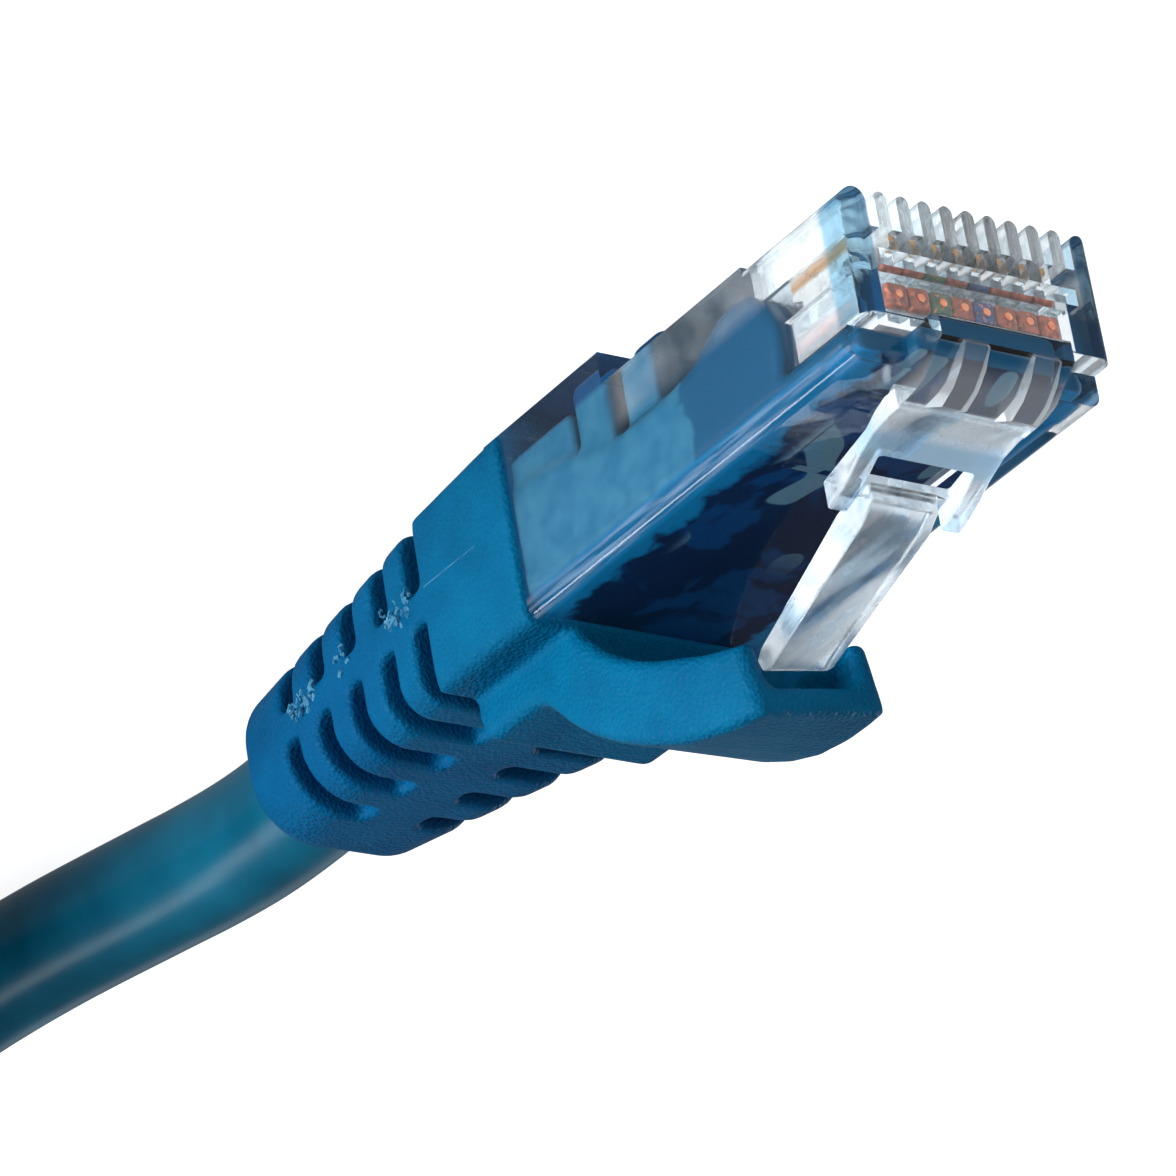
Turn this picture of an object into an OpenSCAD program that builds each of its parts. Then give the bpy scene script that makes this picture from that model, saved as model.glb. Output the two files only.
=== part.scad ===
// Ethernet patch cable: a round four-pair lead with a clear 8-way modular plug, a ribbed
// overmoulded boot and a latch guard at each end.  Millimetres, +Z up, plugs point along +X.
// The table is z = 0.  The origin lies under the middle of the near plug and its boot.

/* [Plug housing] */
// Width of the plug
plug_w = 11.68; // [11.5:0.01:11.8]
// Height of the nose, from the ridge tops to the latch side
nose_h = 6.7; // [6.5:0.05:6.9]
// Height of the front wall, from the ridge tops to its lower edge
front_wall_h = 5.3; // [5.1:0.05:5.5]
// How far the feet beside the latch stand back from the front wall
foot_setback = 1.2; // [0.8:0.1:1.6]
// How much deeper the body is behind the anchor window
rear_step = 1.4; // [1.2:0.05:1.5]
// Length of clear body that shows in front of the boot
shown_len = 22.3; // [21.5:0.1:23]
// Length of the tail that the boot grips
tail_len = 1.2; // [0.8:0.1:2]
// How much smaller the tail is than the body, all round
tail_inset = 0.5; // [0.3:0.05:0.6]
// Thickness of the side walls
side_wall = 0.6; // [0.5:0.05:0.7]
// Thickness of the walls on the contact side and the latch side
flat_wall = 0.85; // [0.7:0.05:0.9]
// Radius of the long edges on the latch side
edge_r = 0.5; // [0.3:0.05:0.7]
// Radius of the upright corners of the nose
nose_corner_r = 0.6; // [0.3:0.1:0.8]
// Distance from the nose to the anchor window
window_x = 12.7; // [12.4:0.1:13]
// Length of the anchor window
window_len = 2.9; // [2.5:0.1:3.1]

/* [Contacts and wires] */
// Number of ways
ways = 8; // [8:1:8]
// Distance between contacts
pitch = 1.02; // [1:0.01:1.03]
// Width of a contact slot
slot_w = 0.42; // [0.38:0.01:0.46]
// Length of the contact slots
slot_len = 6.4; // [6:0.1:6.8]
// Depth of the slots in the front face
slot_depth = 1.6; // [1.4:0.1:1.8]
// Thickness of a contact blade
contact_t = 0.32; // [0.26:0.01:0.35]
// How far the contact edges lie below the ridge tops
contact_drop = 0.55; // [0.4:0.05:0.7]
// Diameter of a wire over its insulation
wire_d = 0.96; // [0.9:0.01:0.98]
// Diameter of a copper conductor
core_d = 0.52; // [0.4:0.02:0.6]
// Depth of the wires below the ridge tops
wire_z = 3.95; // [3.85:0.05:4.05]
// Radial clearance of the wires in the load bar
wire_clear = 0.01; // [0.01:0.005:0.015]
// Thickness of the front wall over the wire ends
front_wall_t = 1.0; // [0.8:0.1:1.2]
// Length of the load bar
load_bar_len = 3.7; // [3.3:0.1:3.9]
// Height of the load bar
load_bar_h = 1.9; // [1.7:0.1:1.9]

/* [Latch] */
// Width of the latch and its root
latch_w = 6.2; // [6:0.05:6.4]
// Width of the finger behind the shoulders
finger_w = 3.2; // [3:0.05:3.3]
// How far the latch root stands out in front of the nose
root_proud = 0.8; // [0.5:0.1:1]
// Distance from the nose to the latch's living hinge
hinge_x = 2.6; // [2.5:0.05:2.8]
// Thickness of the latch at its living hinge
hinge_t = 0.84; // [0.7:0.02:0.9]
// Distance from the nose to the locking shoulders
shoulder_x = 7.25; // [7:0.05:7.5]
// Distance from the nose to the tip of the finger
finger_x = 15.0; // [14.7:0.1:15.1]
// Width of the pocket between the shoulders
pocket_w = 4.4; // [4.2:0.1:4.6]

/* [Boot and latch guard] */
// Half width of the collar
collar_hw = 6.1; // [6.05:0.05:6.3]
// Length of the collar
collar_len = 6.4; // [6:0.1:6.8]
// How far the boot reaches behind the plug's visible body
boot_len = 22.2; // [21.8:0.2:23]
// Half width of the boot at the cable
boot_end_hw = 4.25; // [4:0.05:4.5]
// Half height of the boot at the cable
boot_end_hh = 3.5; // [3.4:0.05:3.5]
// Distance between the boot's flexing grooves
groove_pitch = 2.81; // [2.7:0.01:2.9]
// Width of a groove
groove_w = 0.75; // [0.6:0.05:0.9]
// Depth of a groove
groove_depth = 1.1; // [0.8:0.1:1.2]
// Width of the webs that carry the boot across its grooves on its sides
side_web = 1.4; // [1:0.1:2]
// Width of the webs that carry the boot across its grooves above and below
flat_web = 2.6; // [2:0.1:3]
// Half width of the latch guard at its root
guard_hw = 4.0; // [3.8:0.05:4.2]
// Half width of the latch guard at its tip
guard_tip_hw = 3.3; // [3.2:0.05:3.5]
// Distance from the nose to the tip of the guard
guard_tip_x = 13.9; // [13.8:0.1:14.2]
// Thickness of the guard's side walls round the finger
guard_wall = 1.0; // [0.8:0.05:1.1]
// Radius of the guard's flexing root
guard_root_r = 1.05; // [0.95:0.05:1.1]

/* [Cable] */
// Diameter of the cable
cable_d = 5.6; // [5.2:0.1:5.7]
// Radius of the coil at its outermost turn, to the middle of the cable
coil_r = 33; // [32:1:44]
// Clear space between turns and between layers
turn_gap = 0.5; // [0.45:0.05:1]
// Thickness of the tie
tie_t = 0.8; // [0.6:0.1:1.2]
// Width of the tie
tie_w = 10; // [6:1:14]

/* [Hidden] */
ENDS = ["near", "far"];
EACH_END = ["housing", "latch", "boot", "latch_guard", "inner_mould", "load_bar", "jacket", "conductors"];

$fn = 48;
eps = 0.01;                 // overlap of cutters past the faces that they open
fit = 0.05;                 // gap between pieces that are moulded or laid together
hinge_fit = 0.03;           // gap round the latch and guard roots

// Plug frame: x = 0 at the nose, z = 0 at the ridge tops, +z towards the latch
body_len = shown_len + tail_len;
boot_x = shown_len + boot_len;
collar_x = shown_len + collar_len;
window_end = window_x + window_len;
latch_face = nose_h;
seat_h = rear_step + 0.1;   // the collar's lower edge stands on the table
nose_x = (boot_x - root_proud) / 2;
slot_y = [for (i = [0:ways - 1]) ((ways - 1) / 2 - i) * pitch];
comb_y = [for (i = [-1:ways]) ((ways - 1) / 2 - i) * pitch];
ridge_y = [for (i = [0:ways]) (ways / 2 - i) * pitch];
ridge_r = (pitch - slot_w) / 2;
comb_hw = (ways + 1) / 2 * pitch + slot_w / 2;
column_r = (plug_w / 2 - comb_hw) / 2;

// Cavity for the inner mould and the chamber for the load bar
cavity_hw = plug_w / 2 - side_wall;
cavity_x = 5.2;
cavity_top = nose_h - flat_wall;
chamber_hw = 4.45;
bar_x = front_wall_t + 0.3;
bar_hw = chamber_hw - 0.15;

// Latch: living hinge line, and the heights of its outline above the ridge tops
hinge_z = latch_face + 0.13 + hinge_t / 2;
shoulder_z = 8.2;
shoulder_t = 1.2;
finger_z = 11.15;
finger_root_z = 9.7;
finger_t = 1.0;

// Boot: middle height of the cable at the plug and at the boot's end
jacket_r = cable_d / 2;
jacket_end_z = 2.0;
jacket_front_z = 2.75;
jacket_front_x = window_end + flat_wall + 0.2;
collar_z0 = -rear_step - 0.1;
collar_z1 = latch_face + 0.25;
collar_back_z0 = -0.9;
base_z = 8.7;

// Latch guard: flexing root and the scoop round the finger's tip
guard_x = 24.0;
guard_z = collar_z1 + guard_root_r;
guard_top_z = 14.1;
guard_lip_z = 13.15;
guard_floor_z = 12.6;
scoop_x = 17.3;

// Route of each free stretch of cable from its boot, chosen by hand: [x, y, z] from the
// middle of the boot's end face, y towards the coil
tube_sides = 10;
wire_sides = 8;
coil_step = cable_d + turn_gap;
coil_z = cable_d / 2 + tie_t + 2 * fit;
exit_x = nose_x - boot_x;
exit_z = seat_h + jacket_end_z;
low_z = coil_z - exit_z;
high_z = low_z + coil_step;
near_route = [[0, 0, 0], [-3, 0, 0], [-6, 0.1, -0.1], [-9, 0.47, -0.25], [-12, 1.05, -0.4],
    [-18, 2.32, -0.6], [-23, 3.38, -0.5], [-28, 4.44, low_z - 0.3], [-34, 5.72, low_z],
    [-40, 6.995, low_z]];
far_route = [[0, 0, 0], [-3, 0, 0], [-6, 0.1, 0.1], [-9, 0.47, 0.4], [-12, 1.05, 0.9],
    [-18, 2.32, 2.6], [-23, 3.38, 4.3], [-28, 4.44, high_z - 0.6], [-34, 5.72, high_z],
    [-40, 6.995, high_z]];
route_heading = 12;         // degrees that a route has turned towards the coil at its end

// Coil: turns clockwise seen from above, in along the bottom layer and out along the top one
route_end = near_route[len(near_route) - 1];
entry_angle = 270 - route_heading;
entry = [exit_x + route_end[0] - cable_d * cos(route_heading),
    route_end[1] + cable_d * sin(route_heading)];
coil_c = entry - coil_r * [cos(entry_angle), sin(entry_angle)];
far_y = 2 * coil_c[1];
coil_turns = 4 + (2 * entry_angle - 360) / 360;
rings_per_turn = 24;
coil_steps = round(coil_turns * rings_per_turn);
coil_sides = 6;

function turn_radius(t) = coil_r - coil_step * min(t, coil_turns - t);
function ramp(u) = u < 0 ? 0 : u > 1 ? 1 : u * u * (3 - 2 * u);
function turn_z(t) = coil_z + coil_step * ramp((t - coil_turns / 2) / 0.5 + 0.5);
function turn_point(t) = [
    coil_c[0] + turn_radius(t) * cos(entry_angle - 360 * t),
    coil_c[1] + turn_radius(t) * sin(entry_angle - 360 * t),
    turn_z(t)];
function place_near(p) = [exit_x + p[0], p[1], exit_z + p[2]];
function place_far(p) = [exit_x + p[0], far_y - p[1], exit_z + p[2]];
near_points = [for (p = near_route) place_near(p)];
far_points = [for (p = far_route) place_far(p)];
coil_points = concat(
    [near_points[len(near_points) - 1]],
    [for (i = [0:coil_steps]) turn_point(coil_turns * i / coil_steps)],
    [far_points[len(far_points) - 1]]);

// Least clear space between turns, measured from ring to ring more than half a turn apart
function least_gap(p, apart) = min([for (i = [0:len(p) - 1]) for (j = [i + apart:1:len(p) - 1])
    norm(p[i] - p[j])]) - cable_d;
function path_len(p) = len(p) < 2 ? 0 : path_sum(p, 1, 0);
function path_sum(p, i, total) = i >= len(p) ? total
    : path_sum(p, i + 1, total + norm(p[i] - p[i - 1]));
echo(least_gap_mm = least_gap(coil_points, rings_per_turn / 2));
echo(cord_len_mm = path_len(near_points) + path_len(coil_points) + path_len(far_points));

// ---------- helpers ----------

function arc(c, r, a0, a1, n) = [for (i = [0:n]) c + r * [cos(a0 + (a1 - a0) * i / n),
    sin(a0 + (a1 - a0) * i / n)]];

// Points of a shallow arc from a to b that bows out by h on its left
function bow(a, b, h, n) = [for (i = [0:n]) let (u = i / n, d = b - a)
    a + u * d + 4 * h * u * (1 - u) * [-d[1], d[0]] / norm(d)];

// Rounded rectangle about the middle plane, from height z0 to z1
function rounded(hw, z0, z1, r0, r1, n = 6) = concat(
    arc([hw - r0, z0 + r0], r0, -90, 0, n), arc([hw - r1, z1 - r1], r1, 0, 90, n),
    arc([r1 - hw, z1 - r1], r1, 90, 180, n), arc([r0 - hw, z0 + r0], r0, 180, 270, n));

// Extrudes a side outline (x, z) across the plug, w wide and centred
module across(w) {
    rotate([90, 0, 0]) linear_extrude(w, center = true) children();
}

// Extrudes an end outline (y, z) along the plug, from x0 to x1
module along(x0, x1) {
    translate([x0, 0, 0]) rotate([90, 0, 90]) linear_extrude(x1 - x0) children();
}

// Closed tube along a list of points, its end faces square to their first and last stretch
module tube(p, r, sides) {
    n = len(p);
    rings = [for (i = [0:n - 1])
        let (t = p[min(i + 1, n - 1)] - p[max(i - 1, 0)], k = t / norm(t),
            s = cross([0, 0, 1], k) / norm(cross([0, 0, 1], k)), u = cross(k, s))
        for (j = [0:sides - 1]) p[i] + r * (cos(360 * (j + 0.5) / sides) * s
            + sin(360 * (j + 0.5) / sides) * u)];
    walls = [for (i = [0:n - 2]) for (j = [0:sides - 1])
        let (a = i * sides + j, b = i * sides + (j + 1) % sides)
        each [[a, a + sides, b], [b, a + sides, b + sides]]];
    caps = concat([[for (j = [0:sides - 1]) j]], [[for (j = [sides - 1:-1:0]) (n - 1) * sides + j]]);
    polyhedron(rings, concat(walls, caps));
}

module at_end(e) {
    translate([nose_x, e == "near" ? 0 : far_y, seat_h]) children();
}

// ---------- plug housing ----------

module side_outline() {
    polygon([[0, 0], [0, front_wall_h], [-foot_setback, front_wall_h], [-foot_setback, latch_face],
        [-body_len, latch_face], [-body_len, -rear_step], [-window_end, -rear_step],
        [-window_end, 0]]);
}

module plan_outline() {
    r = nose_corner_r;
    hw = plug_w / 2;
    polygon(concat(arc([-r, r - hw], r, -90, 0, 6), arc([-r, hw - r], r, 0, 90, 6),
        [[-body_len, hw], [-body_len, -hw]]));
}

module body_block() {
    intersection() {
        across(plug_w) side_outline();
        along(-body_len, 0) polygon(rounded(plug_w / 2, -rear_step, latch_face, 0.2, edge_r));
        translate([0, 0, -rear_step]) linear_extrude(rear_step + latch_face) plan_outline();
        union() {
            along(-shown_len, 0) translate([-plug_w, -plug_w]) square(2 * plug_w);
            along(-body_len - eps, -shown_len + eps) tail_outline(0);
        }
    }
}

module tail_outline(grow) {
    hw = plug_w / 2 - tail_inset + grow;
    polygon(rounded(hw, tail_inset - rear_step - grow, latch_face - tail_inset + grow, 0.3, 0.3));
}

// Fixed root of the latch: a thick block under the nose, seated round the living hinge
module latch_root() {
    top = hinge_z + hinge_t / 2;
    difference() {
        across(latch_w) polygon(concat(
            [[-foot_setback, front_wall_h - 0.3], [0, front_wall_h - 0.3], [root_proud - 0.25, front_wall_h + 0.05]],
            arc([root_proud - 0.25, front_wall_h + 0.3], 0.25, -90, 0, 3),
            bow([root_proud, front_wall_h + 1.1], [-0.4, top - 0.2], -0.25, 4),
            [[-hinge_x + 0.15, top], [-hinge_x + 0.15, latch_face - 0.3]]));
        hinge_line(hinge_t / 2 + hinge_fit, latch_w + 1);
    }
}

module hinge_line(r, w) {
    translate([-hinge_x, 0, hinge_z]) rotate([90, 0, 0]) cylinder(r = r, h = w, center = true);
}

// Two gussets that stiffen the bend of the latch root
module root_gussets() {
    for (y = [1.6, -1.6]) translate([0, y, 0]) across(1.15)
        polygon([[root_proud - 0.1, front_wall_h + 1.0], [root_proud + 0.0, front_wall_h + 1.7],
            [0.3, front_wall_h + 2.35], [-1.3, front_wall_h + 2.75], [-2.0, front_wall_h + 2.3],
            [-0.4, front_wall_h + 1.6]]);
}

// Contact slots, with the ridges between them and the end columns rounded on top
module comb_cut() {
    along(-slot_len, eps) difference() {
        translate([-plug_w, -1]) square([2 * plug_w, 1 + column_r]);
        translate([-comb_hw, ridge_r]) square([2 * comb_hw, column_r]);
        for (y = ridge_y) translate([y, ridge_r]) circle(ridge_r);
        for (s = [-1, 1]) translate([s * (comb_hw + column_r), column_r]) circle(column_r);
    }
    for (y = comb_y) translate([-slot_len, y - slot_w / 2, -eps])
        cube([slot_len + eps, slot_w, slot_depth + eps]);
    for (y = slot_y) translate([-slot_len, y - slot_w / 2, 0])
        cube([slot_len - 0.7, slot_w, wire_z - load_bar_h / 2]);
}

// Side outline of the space that the inner mould fills
function mould_outline(g) = concat(
    [[-body_len - 2 * g, -rear_step + flat_wall - g], [-window_end - flat_wall + g, -rear_step + flat_wall - g],
        [-window_end - flat_wall + g, flat_wall - g]],
    arc([-cavity_x - 1.9 + g, flat_wall + 1.9 - g], 1.9, -90, 0, 6),
    arc([-cavity_x - 0.8 + g, cavity_top - 0.8 + g], 0.8, 0, 90, 4),
    [[-body_len - 2 * g, cavity_top + g]]);

module housing() {
    color([0.86, 0.92, 0.96, 0.45]) difference() {
        union() {
            body_block();
            latch_root();
            root_gussets();
        }
        comb_cut();
        across(2 * cavity_hw) polygon(mould_outline(fit));
        translate([-cavity_x - 2.5, -chamber_hw, wire_z - load_bar_h / 2 - fit])
            cube([cavity_x + 2.5 - front_wall_t, 2 * chamber_hw, load_bar_h + 2 * fit]);
        translate([-window_end, -cavity_hw + 0.5, -eps])
            cube([window_len, 2 * cavity_hw - 1, flat_wall + 2 * eps]);
    }
}

// ---------- latch ----------

module latch() {
    top = hinge_z + hinge_t / 2;
    low = hinge_z - hinge_t / 2;
    web_z = shoulder_z + 0.35;
    color([0.86, 0.92, 0.96, 0.45]) {
        difference() {
            union() {
                hinge_line(hinge_t / 2, latch_w);
                across(latch_w) polygon([[-hinge_x, low], [-hinge_x, top], [-hinge_x - 1, top + 0.13],
                    [-hinge_x - 1.8, top + 0.45], [-shoulder_x, shoulder_z + shoulder_t],
                    [-shoulder_x, shoulder_z], [-hinge_x - 1.7, low + 0.6], [-hinge_x - 0.6, low + 0.1]]);
            }
            across(pocket_w) polygon([[-shoulder_x - 1, web_z + 0.2], [-hinge_x - 2.2, web_z - 0.3],
                [-hinge_x - 2.2, web_z + 3], [-shoulder_x - 1, web_z + 3]]);
        }
        across(finger_w) polygon([[-shoulder_x + 1.6, shoulder_z - 0.1], [-shoulder_x + 1.2, finger_root_z - 0.7],
            [-shoulder_x, finger_root_z], [-finger_x + 0.3, finger_z + finger_t - 0.1],
            [-finger_x, finger_z + finger_t - 0.2], [-finger_x, finger_z],
            [-shoulder_x - 1.2, shoulder_z + 0.35]]);
    }
}

// ---------- contacts, wires and load bar ----------

module blade_outline() {
    r = 0.6;
    tine = wire_z - core_d / 2 - 0.1;
    polygon(concat(
        arc([-0.85 - r, contact_drop + r], r, 0, -90, 6),
        [[-4.9, contact_drop], [-4.9, 2.2], [-4.4, 2.4], [-4.2, tine], [-3.9, tine], [-3.6, 2.7],
            [-2.9, 2.7], [-2.6, tine], [-2.3, tine], [-2.0, 2.4], [-0.85, 2.2]]));
}

module contact(i) {
    color([0.85, 0.65, 0.2]) translate([0, slot_y[i], 0]) across(contact_t) blade_outline();
}

module load_bar() {
    color([0.85, 0.9, 0.95, 0.5]) difference() {
        translate([-bar_x - load_bar_len, -bar_hw, wire_z - load_bar_h / 2])
            cube([load_bar_len, 2 * bar_hw, load_bar_h]);
        for (y = slot_y) translate([-bar_x - load_bar_len - 1, y, wire_z]) rotate([0, 90, 0])
            cylinder(d = wire_d + 2 * wire_clear, h = load_bar_len + 2);
        for (y = slot_y) translate([0, y, 0]) across(contact_t + fit) blade_outline();
    }
}

// A wire's middle line: straight through the load bar, then up or down into one of two
// rows, then together to the end of the jacket
function wire_line(i) = let (row = i % 2 == 0 ? 0.6 : -0.6, y = slot_y[i],
    y_end = (1.5 - floor(i / 2)) * 1.05, z_end = jacket_front_z + row)
    [[-bar_x, y, wire_z], [-bar_x - load_bar_len - 0.3, y, wire_z],
        [-bar_x - load_bar_len - 1, y, wire_z + row * 0.12], [-8.3, y, wire_z + row * 0.88],
        [-9, y * 0.99 + y_end * 0.01, wire_z + row], [-10, y * 0.9 + y_end * 0.1, wire_z + row],
        [-14.5, y * 0.15 + y_end * 0.85, z_end + 0.15], [-jacket_front_x + 0.05, y_end, z_end]];

wire_colors = ["brown", "tan", "green", "lightskyblue", "royalblue", "palegreen", "orange", "moccasin"];

module wire(i) {
    p = wire_line(i);
    color(wire_colors[i]) difference() {
        tube(p, wire_d / 2, wire_sides);
        translate(p[0] - [load_bar_len, 0, 0]) rotate([0, 90, 0]) cylinder(d = core_d, h = load_bar_len + 1);
        translate([0, p[0][1], 0]) across(contact_t + 2 * hinge_fit) blade_outline();
    }
}

module conductors() {
    color("peru") for (i = [0:ways - 1]) difference() {
        translate(wire_line(i)[0] - [load_bar_len, 0, 0]) rotate([0, 90, 0])
            cylinder(d = core_d, h = load_bar_len + 0.15);
        translate([0, slot_y[i], 0]) across(contact_t + 2 * hinge_fit) blade_outline();
    }
}

// ---------- inner mould and cable jacket ----------

module jacket_line(r) {
    slope = (jacket_front_z - jacket_end_z) / (boot_x - jacket_front_x);
    intersection() {
        translate([-boot_x - 2, 0, jacket_end_z - 2 * slope]) rotate([0, 90 - atan(slope), 0])
            cylinder(r = r, h = boot_x - jacket_front_x + 6);
        translate([-boot_x, -10, -10]) cube([boot_x - jacket_front_x, 20, 20]);
    }
}

module inner_mould() {
    color([0.05, 0.36, 0.6]) difference() {
        union() {
            across(2 * cavity_hw - 2 * fit) polygon(mould_outline(0));
            translate([-window_end + 0.4, -cavity_hw + 1.2, -rear_step + 0.1])
                cube([window_len - 0.8, 2 * cavity_hw - 2.4, rear_step + flat_wall]);
        }
        across(2 * chamber_hw - 0.6) polygon([[-4, wire_z - 0.9], [-4, wire_z + 0.9],
            [-9, wire_z + 1.2], [-12, wire_z + 1.05], [-jacket_front_x, jacket_front_z + 1.25],
            [-jacket_front_x, jacket_front_z - 1.25], [-12, wire_z - 1.65], [-9, wire_z - 1.2]]);
        jacket_line(jacket_r);
    }
}

module jacket() {
    color([0.05, 0.4, 0.62]) jacket_line(jacket_r);
}

// ---------- boot and latch guard ----------

module boot_section(x, hw, z0, z1, r0, r1) {
    along(x, x + eps) polygon(rounded(hw, z0, z1, r0, r1, 7));
}

// The boot's tapering body behind the collar, drawn in by d for the floor of its grooves
module boot_taper(d) {
    hull() {
        boot_section(-collar_x - eps, collar_hw - 0.1 - d, -0.8 + d, latch_face - 0.05 - d, 0.9, 1.1);
        boot_section(-boot_x, boot_end_hw - d, jacket_end_z - boot_end_hh + d,
            jacket_end_z + boot_end_hh - d, min(2.8, boot_end_hh - d), min(2.8, boot_end_hh - d));
    }
}

module boot_grooves() {
    difference() {
        for (k = [0:4]) translate([-collar_x - groove_w - k * groove_pitch, -10, -10])
            cube([groove_w, 20, 20]);
        boot_taper(groove_depth);
        translate([-boot_x, -10, jacket_end_z + 0.5 - side_web / 2]) cube([boot_len, 20, side_web]);
        translate([-boot_x, -flat_web / 2, -10]) cube([boot_len, flat_web, 20]);
    }
}

module guard_root(r, w) {
    translate([-guard_x, 0, guard_z]) rotate([90, 0, 0]) cylinder(r = r, h = w, center = true);
}

module boot() {
    color([0.03, 0.42, 0.66]) difference() {
        union() {
            hull() {
                boot_section(-shown_len - eps, collar_hw, collar_z0, collar_z1, 0.5, 0.75);
                boot_section(-collar_x, collar_hw, collar_back_z0, collar_z1 - 0.15, 0.8, 0.9);
            }
            difference() {
                boot_taper(0);
                boot_grooves();
            }
            across(2 * guard_hw) polygon([[-collar_x, collar_z1 - 1], [-collar_x, base_z - 0.3],
                [-collar_x + 0.3, base_z], [-guard_x - 0.3, base_z], [-guard_x, guard_z],
                [-guard_x, collar_z1 - 1]]);
        }
        guard_root(guard_root_r + hinge_fit, 2 * guard_hw + 1);
        along(-body_len, -shown_len + 1) tail_outline(0);
        jacket_line(jacket_r);
    }
}

module guard_outline() {
    polygon(concat(
        bow([-guard_x - 0.55, base_z + 0.3], [-guard_tip_x - 2.2, guard_top_z], 0.95, 10),
        [[-guard_tip_x, guard_top_z], [-guard_tip_x, guard_top_z - 3]],
        bow([-guard_tip_x, guard_top_z - 3], [-guard_x + 0.7, guard_z - 0.78], -0.7, 10)));
}

module guard_plan() {
    straight_x = shown_len;
    polygon([[-guard_x - guard_root_r - 1, -guard_hw], [-straight_x, -guard_hw],
        [-guard_tip_x, -guard_tip_hw], [-guard_tip_x, guard_tip_hw], [-straight_x, guard_hw],
        [-guard_x - guard_root_r - 1, guard_hw]]);
}

module latch_guard() {
    scoop_hw = guard_tip_hw - guard_wall;
    color([0.03, 0.42, 0.66]) difference() {
        intersection() {
            union() {
                across(2 * guard_hw) guard_outline();
                guard_root(guard_root_r, 2 * guard_hw);
            }
            translate([0, 0, latch_face - 1]) linear_extrude(12) guard_plan();
        }
        across(2 * scoop_hw) polygon([[-scoop_x, latch_face], [-scoop_x, guard_floor_z - 0.6],
            [-scoop_x + 0.6, guard_floor_z], [-scoop_x + 1.3, guard_floor_z],
            [-guard_tip_x + eps, guard_lip_z], [-guard_tip_x + eps, latch_face]]);
    }
}

// ---------- free cable, coil and tie ----------

module near_cable() {
    color([0.1, 0.45, 0.65]) tube(near_points, cable_d / 2, tube_sides);
}

module far_cable() {
    color([0.1, 0.45, 0.65]) tube(far_points, cable_d / 2, tube_sides);
}

module coil() {
    color([0.1, 0.45, 0.65]) tube(coil_points, cable_d / 2, coil_sides);
}

// Strap round both layers of the coil, on the side that faces the plugs
module tie() {
    outer = coil_r - coil_step * entry_angle / 360 + cable_d / 2 + fit * 2;
    inner = outer - coil_step - cable_d - 0.9;
    low = coil_z - cable_d / 2 - fit * 2;
    high = coil_z + coil_step + cable_d / 2 + fit * 2;
    color([0.12, 0.12, 0.13]) translate([coil_c[0], coil_c[1], 0]) rotate([90, 0, 0])
        linear_extrude(tie_w, center = true) difference() {
            translate([inner - tie_t, low - tie_t]) square([outer - inner + 2 * tie_t, high - low + 2 * tie_t]);
            translate([inner, low]) square([outer - inner, high - low]);
        }
}

for (e = ENDS) {
    at_end(e) housing();
    at_end(e) latch();
    at_end(e) boot();
    at_end(e) latch_guard();
    at_end(e) inner_mould();
    at_end(e) load_bar();
    at_end(e) jacket();
    at_end(e) conductors();
    for (i = [1:ways]) {
        at_end(e) contact(ways - i);
        at_end(e) wire(ways - i);
    }
}
near_cable();
coil();
far_cable();
tie();
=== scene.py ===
"""Looks of the ethernet patch cable. Shapes are drawn in millimetres in the plug's own frame
(x = 0 at the nose, z = 0 at the ridge tops, +z towards the latch) and moved to the row frame."""

import bpy
import bmesh
import math
import numpy as np
from mathutils import Matrix, Vector


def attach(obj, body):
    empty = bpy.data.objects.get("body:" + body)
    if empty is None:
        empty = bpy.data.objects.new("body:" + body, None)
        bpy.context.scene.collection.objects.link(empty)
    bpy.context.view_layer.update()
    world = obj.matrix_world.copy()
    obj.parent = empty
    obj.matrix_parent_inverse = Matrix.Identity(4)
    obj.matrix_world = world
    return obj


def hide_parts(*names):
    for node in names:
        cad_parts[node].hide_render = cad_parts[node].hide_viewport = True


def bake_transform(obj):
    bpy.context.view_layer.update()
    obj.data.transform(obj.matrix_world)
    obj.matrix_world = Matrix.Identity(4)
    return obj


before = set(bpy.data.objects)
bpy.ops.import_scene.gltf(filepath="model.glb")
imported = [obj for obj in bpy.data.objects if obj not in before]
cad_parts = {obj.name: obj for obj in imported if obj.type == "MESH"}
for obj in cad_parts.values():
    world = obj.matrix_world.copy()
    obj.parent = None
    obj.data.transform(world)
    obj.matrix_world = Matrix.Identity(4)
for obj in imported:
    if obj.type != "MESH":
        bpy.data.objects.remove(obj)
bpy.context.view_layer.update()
scene = bpy.context.scene
scene.view_settings.view_transform = "Standard"

ROOT = "cord_assembly"                      # body that carries the plugs, the boots and the cord
NOSE_X, SEAT_Z = 21.85, 1.5                 # the plug's origin in the row frame
CABLE_R = 2.8
PLUG_HW, PLUG_TOP = 5.84, 6.7               # half width of the plug, and its latch side
PITCH, SLOT_W, SLOT_END = 1.02, 0.42, -6.4  # the comb's contact slots
GUSSETS = ((0.95, 2.1), (-2.4, -1.15))      # from and to, of the two ribs that carry the latch root
TIP_ROLL = np.radians(-9.0)                 # how far guard and finger roll towards their tips

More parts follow.
